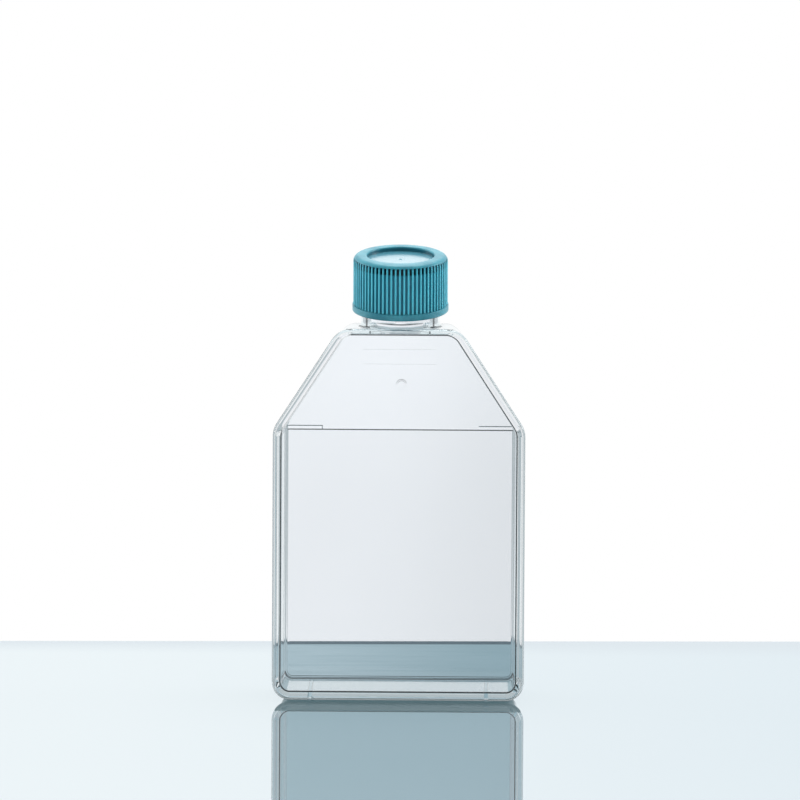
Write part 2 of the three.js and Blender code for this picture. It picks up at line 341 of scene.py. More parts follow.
@dataclass(frozen=True)
class ClearPolystyrene:
    """Clear moulded polystyrene: hard, glossy, with faint flow marks and handling marks. Metres."""

    tint: Colour = paint(252, 253, 254)
    haze_tint: float = 0.985
    haze_roughness: float = 0.012
    index: float = 1.59
    flow_height: float = 0.000001
    mark_height: float = 0.0000015
    # painted shade: the dark colour that faces are mixed towards by their edge shade
    edge: Colour = (0.022, 0.03, 0.034, 1.0)
    # painted light: a pale glow on faces whose edge shade marks them lit
    lit: Colour = (0.78, 0.81, 0.83, 1.0)
    lit_share: float = 0.8
    # painted shade: a dark teal glow on the lower end, seen from outside and in the table's reflection
    foot: Colour = (0.05, 0.115, 0.13, 1.0)
    foot_share: float = 0.75
    foot_span: tuple[float, float] = (0.0030, 0.0034)
    # painted light: glows for rays lost in the plastic, darker at the bottom and brighter at the neck
    glow_low: Colour = (0.12, 0.19, 0.21, 1.0)
    glow: Colour = (0.50, 0.565, 0.585, 1.0)
    glow_span: tuple[float, float] = (0.0, 0.0015)
    glow_top: Colour = (0.80, 0.90, 0.93, 1.0)
    glow_top_span: tuple[float, float] = (0.112, 0.120)
    lost_glossy: int = 2
    lost_depth: int = 9

    def skin(self, graph: Graph) -> bpy.types.NodeSocket:
        """The clear plastic itself."""
        flow = graph.noise(28, (1, 1, 0.35), detail=1.0)
        marks = graph.noise(90, (0.22, 1, 1.5), detail=3.0, roughness=0.6)
        haze = graph.noise(14, detail=2.0)
        normal = graph.bump(flow, self.flow_height)
        normal = graph.bump(marks.rise(0.66, 0.80), self.mark_height, normal=normal)
        tint = graph.mix(haze.rise(0.35, 0.75), self.tint, dimmed(self.tint, self.haze_tint))
        return graph.principled(**{
            "Base Color": tint, "Roughness": haze.rise(0.5, 0.9) * self.haze_roughness, "IOR": self.index,
            "Transmission Weight": 1.0, "Normal": normal})

    def material(self) -> bpy.types.Material:
        """The plastic with painted shade on its dark edges and its lower end, painted light on its lit edges,
        and a painted glow where a ray is lost in it.

        Returns:
            The material.
        """
        graph = Graph.of_material("clear polystyrene")
        skin = self.skin(graph)
        ray = Ray(graph)
        height = graph.parts(graph.place())[2]
        shade = graph.value("ShaderNodeAttribute", {"attribute_name": EDGE_SHADE}, "Fac")
        inside = graph.value("ShaderNodeNewGeometry", out="Backfacing")
        # painted light on faces whose edge shade marks them lit
        lit = shade.rise(1.25, 1.75)
        # painted shade: faces are mixed towards the dark colour by their edge shade
        edge = graph.principled(**{"Base Color": self.edge, "Roughness": 0.4})
        shaded = graph.blend(shade.or_(0.0) * (1.0 - lit), skin, edge)
        shaded = graph.blend(lit * self.lit_share, shaded, graph.glow(self.lit))
        # painted shade: the lower end is dark where the table reflects it, and so are faces with an edge
        # shade below 0, seen from outside
        direct = ray.glossy * (1.0 - ray.through)
        below = direct * (1.0 - height.rise(*self.foot_span)) * self.foot_share
        below = below.or_((0.0 - shade).or_(0.0)) * (1.0 - inside)
        shaded = graph.blend(below, shaded, graph.glow(self.foot))
        # painted light: a ray lost in the plastic ends in a glow, darker at the bottom and brighter at the
        # neck
        glow = graph.mix(height.rise(*self.glow_span), self.glow_low, self.glow)
        glow = graph.glow(graph.mix(height.rise(*self.glow_top_span), glow, self.glow_top))
        lost = ray.past("Glossy", self.lost_glossy).or_(ray.past("Ray", self.lost_depth))
        return graph.surface(graph.blend(lost, shaded, glow))


@dataclass(frozen=True)
class SatinTeal:
    """Satin moulded polyethylene, polished in the recess of a cap's top, with painted shade in its grooves,
    pockets and recess wall and painted highlights on its rib crests.
    """

    body: Colour = paint(64, 160, 178)
    deep: Colour = paint(52, 144, 164)
    # painted highlight: the lighter colour on the rib crests
    crest: Colour = paint(84, 204, 226)
    # painted shade: the dark colours in the grooves and the pockets
    groove: Colour = paint(0, 116, 142)
    pocket: Colour = paint(0, 26, 40)
    floor: Colour = paint(86, 158, 178)
    # painted shade: the dark colour on the recess wall and the dot at the gate
    wall: Colour = paint(2, 98, 118)
    roughness: float = 0.34
    polish: float = 0.16
    grain_height: float = 0.00001
    band_end: tuple[float, float] = (0.0022, 0.0026)
    rib_end: tuple[float, float] = (0.0009, 0.0013)
    crown: tuple[float, float] = (0.0024, 0.003)
    pit_height: float = 0.0034
    pit_end: tuple[float, float] = (0.0010, 0.0015)
    floor_depth: tuple[float, float] = (0.0016, 0.0022)
    rim_width: tuple[float, float] = (0.0001, 0.0005)
    rim_depth: tuple[float, float] = (0.0003, 0.0007)
    gate_radius: tuple[float, float] = (0.00025, 0.00045)

    def material(self, origin: Vector, axis: Vector, low: float, top: float, crest: float, depth: float,
                 recess: float) -> bpy.types.Material:
        """Makes the material for a cap.

        Args:
            origin: A point on the cap's axis, in metres.
            axis: The axis' direction.
            low: Place of the cap's lower edge along the axis, in metres.
            top: Place of its upper end.
            crest: Radius at the rib crests, in metres.
            depth: Depth of the grooves, in metres.
            recess: Radius of the recess, in metres.

        Returns:
            The material.
        """
        graph = Graph.of_material("teal polyethylene")
        cloud = graph.noise(160, detail=3.0)
        grain = graph.noise(2600, detail=2.0)
        arm = graph.vector("SUBTRACT", graph.place(), tuple(origin))
        along = graph.value("ShaderNodeVectorMath", {"operation": "DOT_PRODUCT"}, "Value",
                            **{"0": arm, "1": tuple(axis)})
        side = graph.vector("SUBTRACT", arm, graph.scaled(tuple(axis), along))
        radius = graph.value("ShaderNodeVectorMath", {"operation": "LENGTH"}, "Value", **{"0": side})
        below, above, sunk, out = top - along, along - low, crest - radius, radius - recess
        ribs = above.rise(*self.band_end) * below.rise(*self.rib_end)
        grooves = sunk.rise(depth * 0.1, depth * 0.9) * out.rise(*self.crown) * ribs
        colour = graph.mix(cloud.rise(0.35, 0.7), self.body, self.deep)
        # painted highlight: the rib crests are lighter
        colour = graph.mix((1.0 - sunk.rise(0.0, depth * 0.3)) * ribs, colour, self.crest)
        # painted shade: the grooves are darker, and darkest in the deep pockets and on the flanks beside them
        colour = graph.mix(grooves, colour, self.groove)
        colour = graph.mix(sunk.rise(depth * 1.1, depth * 1.5) * grooves, colour, self.pocket)
        pocket_shade_mask = (along - (top - self.pit_height)).rise(0.0, 0.0001) * below.rise(*self.pit_end)
        colour = graph.mix(grooves * pocket_shade_mask * 0.8, colour, self.pocket)
        # painted shade on the recess wall
        rim = (1.0 - out.size().rise(*self.rim_width)) * below.rise(*self.rim_depth)
        colour = graph.mix(rim * 0.9, colour, self.wall)
        # painted shade: a dark dot at the gate
        colour = graph.mix(1.0 - radius.rise(*self.gate_radius), colour, self.wall)
        inner = 1.0 - out.rise(-0.0006, -0.0001)
        colour = graph.mix(inner * (1.0 - below.rise(*self.floor_depth)), colour, self.floor)
        rough = self.roughness + (cloud - 0.5) * 0.16
        return graph.surface(graph.principled(**{
            "Base Color": colour, "Roughness": rough - inner * self.polish, "IOR": 1.5, "Coat Weight": inner,
            "Coat Roughness": 0.22, "Normal": graph.bump(grain, self.grain_height, 0.5)}))


@dataclass(frozen=True)
class LinerFoam:
    """Matte white closed-cell foam."""

    skin: Colour = paint(236, 238, 236)
    cell: Colour = paint(214, 218, 216)
    cell_height: float = 0.00004

    def material(self) -> bpy.types.Material:
        """Makes the material."""
        graph = Graph.of_material("liner foam")
        cells = graph.noise(1800, detail=2.0)
        colour = graph.mix(cells.rise(0.4, 0.65), self.skin, self.cell)
        return graph.surface(graph.principled(**{
            "Base Color": colour, "Roughness": 0.62 + cells * 0.2,
            "Normal": graph.bump(cells, self.cell_height, 0.6)}))


# ---- Closed meshes ----


@contextmanager
def editing(mesh: bpy.types.Mesh) -> Iterator[bmesh.types.BMesh]:
    """Opens a mesh for editing, and writes it back at the end."""
    work = bmesh.new()
    work.from_mesh(mesh)
    yield work
    work.to_mesh(mesh)
    work.free()


class Joining(Enum):
    """What a Boolean does with two solids."""

    ADD = "UNION"
    CUT = "DIFFERENCE"
    KEEP = "INTERSECT"


class Solid:
    """A closed mesh in millimetres."""

    def __init__(self, mesh: bpy.types.Mesh) -> None:
        """Wraps a mesh."""
        self.mesh = mesh

    @classmethod
    def of(cls, points: Sequence[Vector], faces: Sequence[Sequence[int]]) -> "Solid":
        """A solid from its points and faces, with its faces turned outward."""
        mesh = bpy.data.meshes.new("solid")
        mesh.from_pydata([tuple(p) for p in points], [], [tuple(f) for f in faces])
        with editing(mesh) as work:
            bmesh.ops.remove_doubles(work, verts=work.verts, dist=1e-5)
            bmesh.ops.recalc_face_normals(work, faces=work.faces)
        return cls(mesh)

    @classmethod
    def skin(cls, rings: Sequence[Ring]) -> "Solid":
        """A solid through rings that have equally many points, with a flat face at each end."""
        count = len(rings[0])
        points = [p for ring in rings for p in ring]
        faces: list[tuple[int, ...]] = [
            (r * count + i, r * count + (i + 1) % count,
             (r + 1) * count + (i + 1) % count, (r + 1) * count + i)
            for r in range(len(rings) - 1) for i in range(count)
        ]
        last = (len(rings) - 1) * count
        faces += [tuple(range(count))[::-1], tuple(range(last, last + count))]
        return cls.of(points, faces)

    @classmethod
    def turned(cls, profile: Sequence[tuple[float, float]], segments: int) -> "Solid":
        """A turned solid about Z. The profile is radius and height, from the axis back to the axis."""
        rings = [
            [Vector((r * math.cos(a), r * math.sin(a), h))
             for a in (2 * math.pi * i / segments for i in range(segments))]
            for r, h in profile[1:-1]
        ]
        return cls.skin(rings)

    @classmethod
    def block(cls, low: Sequence[float], high: Sequence[float]) -> "Solid":
        """A box from its lowest to its highest corner."""
        ring = [(low[0], low[1]), (high[0], low[1]), (high[0], high[1]), (low[0], high[1])]
        return cls.skin([[Vector((x, y, z)) for x, y in ring] for z in (low[2], high[2])])

    def combined(self, how: Joining, other: "Solid") -> "Solid":
        """This solid joined with, cut by or kept inside another.

        Args:
            how: What to do.
            other: The other solid.

        Returns:
            A new solid.
        """
        base, tool = placed("base", self.mesh), placed("tool", other.mesh)
        modifier = base.modifiers.new("combine", "BOOLEAN")
        modifier.operation, modifier.solver, modifier.object = how.value, "MANIFOLD", tool
        graph = bpy.context.evaluated_depsgraph_get()
        made = bpy.data.meshes.new_from_object(base.evaluated_get(graph), depsgraph=graph)
        bpy.data.objects.remove(base)
        bpy.data.objects.remove(tool)
        if not made.polygons:
            raise RuntimeError(f"{how.name} left an empty mesh")
        return Solid(made)

    def joined(self, *others: "Solid") -> "Solid":
        """This solid with others added."""
        whole = self
        for other in others:
            whole = whole.combined(Joining.ADD, other)
        return whole

    def cut(self, *others: "Solid") -> "Solid":
        """This solid with others cut away."""
        whole = self
        for other in others:
            whole = whole.combined(Joining.CUT, other)
        return whole

    def kept(self, other: "Solid") -> "Solid":
        """What of this solid is inside another."""
        return self.combined(Joining.KEEP, other)

    def moved(self, matrix: Matrix) -> "Solid":
        """This solid, moved."""
        mesh = self.mesh.copy()
        mesh.transform(matrix)
        return Solid(mesh)

    def split_at(self, height: float, beyond: float) -> "Solid":
        """This solid with an edge loop at a height, in the faces that reach beyond a depth."""
        with editing(self.mesh) as work:
            faces = [f for f in work.faces if max(v.co.y for v in f.verts) > beyond]
            geometry = list({x for f in faces for x in (f, *f.edges, *f.verts)})
            bmesh.ops.bisect_plane(work, geom=geometry, dist=1e-6, plane_co=(0, 0, height),
                                   plane_no=(0, 0, 1))
        return self

    def bent(self, move: Callable[[Vector], Vector]) -> "Solid":
        """This solid with each point moved by a function."""
        for vertex in self.mesh.vertices:
            vertex.co = move(vertex.co.copy())
        return self

    def piece(self, name: str, finish: bpy.types.Material, crease: float,
              shade: Callable[[Vector, Vector], float] | None = None) -> bpy.types.Object:
        """Makes a smooth-shaded object of the solid, in metres.

        Args:
            name: The object's name.
            finish: Its material.
            crease: Edges sharper than this many degrees stay sharp.
            shade: How dark a face is as an edge, from its middle and normal.

        Returns:
            The object.
        """
        mesh = self.mesh
        with editing(mesh) as work:
            bmesh.ops.remove_doubles(work, verts=work.verts, dist=2e-4)
            bmesh.ops.dissolve_degenerate(work, edges=work.edges, dist=1e-4)
        mesh.name = name
        if shade:
            layer = mesh.attributes.new(EDGE_SHADE, "FLOAT", "FACE")
            for face in mesh.polygons:
                layer.data[face.index].value = shade(face.center, face.normal)
        mesh.transform(Matrix.Scale(MM, 4))
        mesh.shade_smooth()
        mesh.set_sharp_from_angle(angle=math.radians(crease))
        mesh.materials.clear()
        mesh.materials.append(finish)
        made = placed(name, mesh)
        weighted = made.modifiers.new("flat faces lead", "WEIGHTED_NORMAL")
        weighted.mode, weighted.weight, weighted.keep_sharp = "FACE_AREA", 100, True
        return made


def quarter(x: float, y: float, radius: float, start: float, end: float,
            steps: int) -> list[tuple[float, float]]:
    """Points of an arc.

    Args:
        x: First coordinate of the arc's centre.
        y: Second coordinate of the centre.
        radius: The arc's radius.
        start: First angle, in degrees.
        end: Last angle, in degrees.
        steps: Number of chords.

    Returns:
        The points, both ends included.
    """
    angles = [math.radians(start + (end - start) * i / steps) for i in range(steps + 1)]
    return [(x + radius * math.cos(a), y + radius * math.sin(a)) for a in angles]


# ---- Neck frame, shared by neck, liner and cap ----


@dataclass
class NeckFrame:
    """The canted axis that neck and cap share, from the record's joint."""

    origin: Vector
    axis: Vector

    @classmethod
    def of_joint(cls, name: str) -> "NeckFrame":
        """The frame of a hinge of the record."""
        joint = next(j for j in frame["record"]["behaviour"]["joints"] if j["name"] == name)
        return cls(Vector(joint["pos_m"]) / MM, Vector(joint["axis"]).normalized())

    def matrix(self) -> Matrix:
        """From the neck's own frame to the flask's, in millimetres."""
        lean = Vector((0, 0, 1)).rotation_difference(self.axis).to_matrix().to_4x4()
        return Matrix.Translation(self.origin) @ lean

    def span(self, node: str) -> tuple[float, float, float]:
        """Lowest and highest place of a CAD node along the axis, and its radius, in millimetres."""
        points = [v.co / MM - self.origin for v in frame["nodes"][node].data.vertices]
        heights = [p.dot(self.axis) for p in points]
        radius = max((p - self.axis * h).length for p, h in zip(points, heights, strict=True))
        return min(heights), max(heights), radius


# ---- Clear body ----


@dataclass
class Section:
    """One outline of a loft: its depth, how far it is drawn in, and how much lower its lower end is."""

    y: float
    inset: float
    top_inset: float
    drop: float = 0.0


@dataclass(frozen=True)
class EdgeShades:
    """How much painted shade each kind of edge of the clear body gets, from 0 to 1; lit, at 2, gets painted
    light instead.
    """

    step: float = 0.95
    rim: float = 1.0
    rim_faint: float = 0.2
    rim_flat: float = 0.3
    returns: float = 0.6
    bead: float = 0.85
    rib: float = 0.4
    bore: float = 0.8
    top: float = 0.5
    arc: float = 0.9
    slope: float = 0.5
    side: float = 0.3
    mark: float = 1.0
    pad: float = 0.22
    foot: float = 0.9
    lip: float = 0.6
    lit: float = 2.0


@dataclass
class FlaskBody:
    """Tray, lid and neck, welded into one clear shell. Millimetres."""

    neck: NeckFrame
    hip_height: float = 90.3
    slope_angle: float = 33.1
    foot_radius: float = 6.0
    hip_radius: float = 8.0
    least_radius: float = 0.3
    shoulder_radius: float = 8.0
    wall: float = 1.75
    growth_plate: float = 1.6
    draft_angle: float = 1.3
    shoulder_wall: float = 1.3
    end_wall_gain: float = 0.35
    shoulder_setback: float = 0.3
    outer_edge_radius: float = 0.8
    inner_edge_radius: float = 0.9
    flange_reach: float = 1.1
    flange_thickness: float = 1.6
    flange_edge: float = 0.2
    seam_depth: float = 0.1
    seam_height: float = 0.5
    seam_inset: float = 1.3
    seam_width: float = 0.6
    seam_void: float = 0.06
    ramp_start: float = 87.4
    ramp_dam: float = 0.8
    neck_ledge: float = 1.0
    foot_rim_height: float = 0.5
    foot_rim_width: float = 1.3
    foot_rim_inset: float = 0.1
    foot_rim_return: float = 1.05
    foot_rim_opening: float = 52.5
    foot_rim_edge: float = 0.4
    bead_radius: float = 0.2
    rib_spacing: float = 58.4
    rib_width: float = 1.3
    rib_end: float = 1.5
    rib_edge: float = 0.25
    lid_rim_height: float = 1.0
    lid_rim_width: float = 2.8
    lid_rim_rise: float = 0.75
    lid_rim_lift: float = 0.15
    lid_edge_radius: float = 1.1
    lid_step_radius: float = 0.35
    lid_foot_radius: float = 0.12
    lid_corner_radius: float = 0.3
    gate_place: tuple[float, float] = (0.7, 105.2)
    gate_radius: float = 1.5
    gate_width: float = 0.6
    gate_rise: float = 0.06
    mark_flank: float = 0.12
    pad_width: float = 24.0
    pad_span: tuple[float, float] = (111.9, 116.9)
    pad_rise: float = 0.05
    neck_length: float = 19.7
    bore_radius: float = 10.95
    collar_radius: float = 13.15
    collar_length: float = 7.4
    witness_height: float = 3.8
    witness_depth: float = 0.02
    witness_width: float = 0.4
    witness_flank: float = 0.05
    finish_radius: float = 12.5
    neck_root_radius: float = 1.2
    rim_radius: float = 0.5
    thread_pitch: float = 4.0
    thread_depth: float = 1.1
    thread_root: float = 1.5
    thread_crest: float = 0.9
    thread_start: float = 9.2
    thread_turns: float = 2.0
    corner_steps: tuple[int, int, int] = (22, 12, 16)
    edge_steps: int = 8
    round_segments: int = 192
    finish: ClearPolystyrene = field(default_factory=ClearPolystyrene)
    shades: EdgeShades = field(default_factory=EdgeShades)

    def __post_init__(self) -> None:
        """Takes the overall sizes from the CAD nodes' boxes."""
        body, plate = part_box("flask_body"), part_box("top_plate")
        self.half_width = plate[1][0] / MM
        self.stand_gap = plate[0][2] / MM
        self.shoulder_height = plate[1][2] / MM
        self.front = plate[0][1] / MM
        self.feet = body[1][1] / MM
        self.weld = body[0][1] / MM
        self.shoulder_top = self.neck.origin.z
        self.plate_outer = self.feet - self.foot_rim_height
        self.plate_inner = self.plate_outer - self.growth_plate
        self.cant = math.acos(self.neck.axis.z)
        self.panel = self.front + self.lid_rim_height

    def outline(self, section: Section) -> Ring:
        """The six-sided outline with rounded corners.

        Args:
            section: Its depth and insets.

        Returns:
            Its points, anticlockwise seen from the lid.
        """
        slope = math.radians(self.slope_angle)
        side = self.half_width - section.inset
        hip = self.hip_height - section.inset * math.tan(slope / 2)
        top = self.shoulder_height - section.top_inset
        shoulder = side - (top - hip) * math.tan(slope)
        right = [
            (side, self.stand_gap + section.inset - section.drop, self.foot_radius, self.corner_steps[0]),
            (side, hip, self.hip_radius, self.corner_steps[1]),
            (shoulder, top, self.shoulder_radius, self.corner_steps[2]),
        ]
        corners = right + [(-x, z, r, n) for x, z, r, n in reversed(right)]
        ring: Ring = []
        for i, (x, z, radius, steps) in enumerate(corners):
            here = Vector((x, z))
            before = (Vector(corners[i - 1][:2]) - here).normalized()
            after = (Vector(corners[(i + 1) % len(corners)][:2]) - here).normalized()
            half = before.angle(after) / 2
            rounding = max(self.least_radius, radius - section.inset)
            centre = here + (before + after).normalized() * (rounding / math.sin(half))
            start = math.atan2(before.x, -before.y)
            turn = math.pi - 2 * half
            for step in range(steps + 1):
                angle = start + turn * step / steps
                ring.append(Vector((centre.x + rounding * math.cos(angle), section.y,
                                    centre.y + rounding * math.sin(angle))))
        return ring

    def loft(self, sections: Sequence[Section]) -> Solid:
        """A solid through several outlines."""
        return Solid.skin([self.outline(section) for section in sections])

    def slab(self, inset: float, top_inset: float, back: float, forward: float) -> Solid:
        """A straight slab of the outline between two depths."""
        return self.loft([Section(back, inset, top_inset), Section(forward, inset, top_inset)])

    def draft_inset(self, y: float) -> float:
        """How far the drafted wall is drawn in at a depth."""
        return self.flange_reach + (y - self.weld) * math.tan(math.radians(self.draft_angle))

    def back_edge(self, back: float, thickness: float, top_inset: float, radius: float) -> list[Section]:
        """The rounded edge between growth plate and walls, from the plate forward."""
        sections = []
        for out, up in quarter(0, 0, radius, 90, 0, self.edge_steps):
            y = back - radius + up
            drawn = radius - out
            sections.append(Section(y, self.draft_inset(y) + thickness + drawn, top_inset + drawn))
        return sections

    def ramped(self, tray: Solid, rise: float) -> Solid:
        """Leans the growth plate forward above the ramp's start, by `rise` at the shoulder."""
        lean = rise / (self.shoulder_top - self.ramp_start)

        def move(point: Vector) -> Vector:
            """One point of the tray."""
            if point.y > 0 and point.z > self.ramp_start:
                point.y -= lean * (point.z - self.ramp_start)
            return point

        return tray.split_at(self.ramp_start, 0).bent(move)

    def neck_back(self, radius: float) -> float:
        """How far back a circle of the neck reaches at the shoulder."""
        return self.neck.origin.y + radius / math.cos(self.cant)

    def outside(self) -> Solid:
        """Tray, flange and lid from outside, with the lid's well."""
        outer_rise = self.plate_outer - self.neck_back(self.collar_radius) - self.neck_ledge
        sections = self.back_edge(self.plate_outer, 0, self.shoulder_setback, self.outer_edge_radius)
        rear = self.weld + self.flange_thickness
        root = self.flange_edge
        for inset, y in quarter(self.draft_inset(rear) - root, rear + root, root, 0, -90, 3):
            sections.append(Section(y, inset, min(self.shoulder_setback, inset)))
        for out, up in quarter(0, 0, self.flange_edge, 90, 0, 3):
            drawn = self.flange_edge - out
            sections.append(Section(rear - self.flange_edge + up, drawn, drawn))
        seam = self.seam_depth
        sections += [Section(self.weld + seam, 0, 0), Section(self.weld, seam, seam),
                     Section(self.weld - seam, 0, 0)]
        radius = self.lid_edge_radius
        for out, up in quarter(0, 0, radius, 0, 90, self.edge_steps):
            sections.append(Section(self.front + radius - up, radius - out, radius - out))
        step, foot, width = self.lid_step_radius, self.lid_foot_radius, self.lid_rim_width
        for inset, y in [*quarter(width - step, self.front + step, step, -90, 0, self.edge_steps),
                         *quarter(width + foot, self.panel - foot, foot, 180, 90, self.edge_steps)]:
            sections.append(Section(y, inset, inset - self.lid_rim_rise, -self.lid_rim_lift))
        return self.ramped(self.loft(sections), outer_rise)

    def hollow(self) -> Solid:
        """The space inside tray and lid."""
        inner_rise = self.plate_inner - self.neck_back(self.bore_radius) - self.ramp_dam
        top, drop = self.shoulder_setback + self.shoulder_wall, self.end_wall_gain
        sections = self.back_edge(self.plate_inner, self.wall, top, self.inner_edge_radius)
        radius = self.lid_corner_radius
        wall = self.draft_inset(self.weld) + self.wall
        for out, up in quarter(0, 0, radius, 0, -90, 4):
            drawn = radius - out
            sections.append(Section(self.weld + radius + up, wall + drawn, top + drawn))
        return self.ramped(self.loft([replace(s, drop=drop) for s in sections]), inner_rise)

    def weld_void(self) -> Solid:
        """The thin gap that the weld leaves beside the lid's tongue."""
        y = self.weld + self.seam_height
        ring = self.slab(self.seam_inset, self.seam_inset, y + self.seam_void, y)
        inner = self.seam_inset + self.seam_width
        return ring.cut(self.slab(inner, inner, y + 1, y - 1))

    def foot_rim(self) -> Solid:
        """The raised rim that the flask lies on, round the growth plate, with its two short returns."""
        base = self.plate_outer - OVERLAP
        inset = self.draft_inset(self.plate_outer) + self.outer_edge_radius + self.foot_rim_inset
        edge = self.foot_rim_edge
        outer = [(self.feet - edge + up, edge - out) for out, up in quarter(0, 0, edge, 0, 90, 6)]
        blank = self.loft([Section(base, inset, inset),
                           *(Section(y, inset + d, inset + d) for y, d in outer)])
        inner = inset + self.foot_rim_width
        window = self.loft([Section(base - 5, inner, inset),
                            *(Section(y, inner - d, inset) for y, d in outer),
                            Section(self.feet + 5, inner - edge, inset)])
        window = window.cut(Solid.block((-BESIDE, -BESIDE, self.ramp_start), (BESIDE, BESIDE, OVER)))
        low, high, slope = self.ramp_start - self.foot_rim_width, self.ramp_start + self.foot_rim_return, edge
        opening = self.foot_rim_opening / 2
        return (
            blank.cut(window)
            .cut(self.wedge(opening - slope, opening, low, low, OVER))
            .cut(self.wedge(BESIDE, BESIDE, high + slope, high, OVER))
        )

    def wedge(self, half_in: float, half_out: float, low_in: float, low_out: float, high: float) -> Solid:
        """A cutter for the foot rim whose faces slope between the plate and the rim's crest.

        Args:
            half_in: Half width at the plate.
            half_out: Half width at the crest.
            low_in: Lower end at the plate.
            low_out: Lower end at the crest.
            high: Upper end.

        Returns:
            The cutter.
        """
        rings = []
        inside, outside = (half_in, low_in), (half_out, low_out)
        for y, (half, low) in ((self.plate_outer - 9, inside), (self.plate_outer - 0.2, inside),
                               (self.feet, outside), (self.feet + 9, outside)):
            rings.append([Vector((-half, y, low)), Vector((half_out, y, low)), Vector((half_out, y, high)),
                          Vector((-half, y, high))])
        return Solid.skin(rings)

    def bead(self) -> Solid:
        """The fine bead inside, where the growth plate ends and the ramp starts."""
        reach = self.half_width - self.draft_inset(self.plate_inner) - self.wall
        ring = quarter(self.plate_inner, self.ramp_start, self.bead_radius, 0, 330, 11)
        return Solid.skin([[Vector((x, y, z)) for y, z in ring] for x in (-reach, reach)])

    def stand_rib(self, side: int) -> Solid:
        """One of the two ribs under the lower end wall."""
        x = side * self.rib_spacing / 2
        half, edge = self.rib_width / 2, self.rib_edge
        top = self.stand_gap + self.draft_inset(self.plate_outer) + self.wall / 2
        front, back = self.weld + self.flange_thickness - OVERLAP, self.plate_outer - self.rib_end
        profile = [(-half, top), (half, top), *quarter(half - edge, edge, edge, 0, -90, 5),
                   *quarter(-half + edge, edge, edge, -90, -180, 5)]
        return Solid.skin([[Vector((x + u, y, v)) for u, v in profile] for y in (front, back)])

    def neck_outside(self) -> list[Solid]:
        """The neck's turned outside and the fillet at its root."""
        below = self.collar_radius
        shelf = self.collar_radius - self.finish_radius
        rim = self.rim_radius
        line, flank = self.witness_width / 2, self.witness_flank
        stem = Solid.turned([
            (0, -below), (self.collar_radius, -below),
            *((self.collar_radius - drop, self.witness_height + up)
              for drop, up in ((0, -line), (self.witness_depth, flank - line),
                               (self.witness_depth, line - flank), (0, line))),
            (self.collar_radius, self.collar_length),
            (self.finish_radius, self.collar_length + shelf), (self.finish_radius, self.neck_length - rim),
            *quarter(self.finish_radius - rim, self.neck_length - rim, rim, 0, 90, 5)[1:],
            (0, self.neck_length),
        ], self.round_segments).moved(self.neck.matrix())
        base = self.shoulder_top - OVERLAP
        root = self.neck_root_radius
        flare = Solid.turned([
            (0, -OVERLAP), (self.collar_radius + root, -OVERLAP),
            *quarter(self.collar_radius + root, root, root, 270, 180, 8), (0, root),
        ], self.round_segments).moved(Matrix.Translation(self.neck.origin))
        low, top = (-BESIDE, -BESIDE, base), base + BESIDE
        above = Solid.block(low, (BESIDE, BESIDE, top))
        shoulder = Solid.block(low, (BESIDE, self.neck_back(self.collar_radius), top))
        return [stem.kept(above), flare.kept(shoulder)]

    def thread(self) -> Solid:
        """The neck's helical ridge."""
        ridge = helix(self.finish_radius, self.thread_depth, self.thread_turns, self.thread_start,
                      self.thread_pitch, self.thread_root, self.thread_crest)
        return ridge.moved(self.neck.matrix())

    def bore(self) -> Solid:
        """The neck's bore, through the shoulder's wall."""
        low = -self.shoulder_wall - self.bore_radius * math.tan(self.cant) - OVERLAP
        high = self.neck_length
        rim = self.rim_radius
        flare = quarter(self.bore_radius + rim, high - rim, rim, 180, 90, 5)
        profile = [(0, low), (self.bore_radius, low), *flare,
                   (self.bore_radius + rim, high + 5), (0, high + 5)]
        return Solid.turned(profile, self.round_segments).moved(self.neck.matrix())

    def lid_marks(self) -> list[Solid]:
        """The ring that the lid's gate leaves, and the blank pad above it."""
        x, z = self.gate_place
        outer, inner = self.gate_radius + self.gate_width / 2, self.gate_radius - self.gate_width / 2
        rise, flank = self.gate_rise, self.mark_flank
        ring = Solid.turned([(0, OVERLAP), (outer, OVERLAP), (outer, 0), (outer - flank, -rise),
                             (0, -rise)], 64)
        dish = Solid.turned([(0, 0), (inner, 0), (inner + flank, -rise), (inner + flank, -1), (0, -1)], 64)
        turn = Matrix.Translation((x, self.panel, z)) @ Matrix.Rotation(math.radians(-90), 4, "X")
        half, low, high = self.pad_width / 2, *self.pad_span
        rings = []
        for y, d in ((self.panel + OVERLAP, 0), (self.panel, 0), (self.panel - self.pad_rise, flank)):
            corners = ((-half + d, low + d), (half - d, low + d), (half - d, high - d), (-half + d, high - d))
            rings.append([Vector((u, y, v)) for u, v in corners])
        return [ring.cut(dish).moved(turn), Solid.skin(rings[::-1])]

    def gate_tone(self, place: Vector) -> float | None:
        """The shade of the ring that the gate leaves, which is dark at its upper side only."""
        aside, up = place.x - self.gate_place[0], place.z - self.gate_place[1]
        if abs(math.hypot(aside, up) - self.gate_radius) >= 0.29 or place.y >= self.panel - 0.005:
            return None
        turn = math.degrees(math.atan2(up, aside))
        return self.shades.mark * max(0.0, 1 - abs((turn - 90) / 85) ** 3)

    def foot_tone(self, place: Vector, normal: Vector, inward: bool) -> float | None:
        """The shade of the lower end, seen from outside only."""
        if inward or normal.z >= -0.1 or place.z >= self.foot_radius or place.y >= self.plate_outer:
            return None
        if place.y < self.front + self.lid_edge_radius and normal.z < -0.35:
            return -self.shades.lip * normal.z
        return -self.shades.foot * max(0.0, -2 * normal.z - 1)

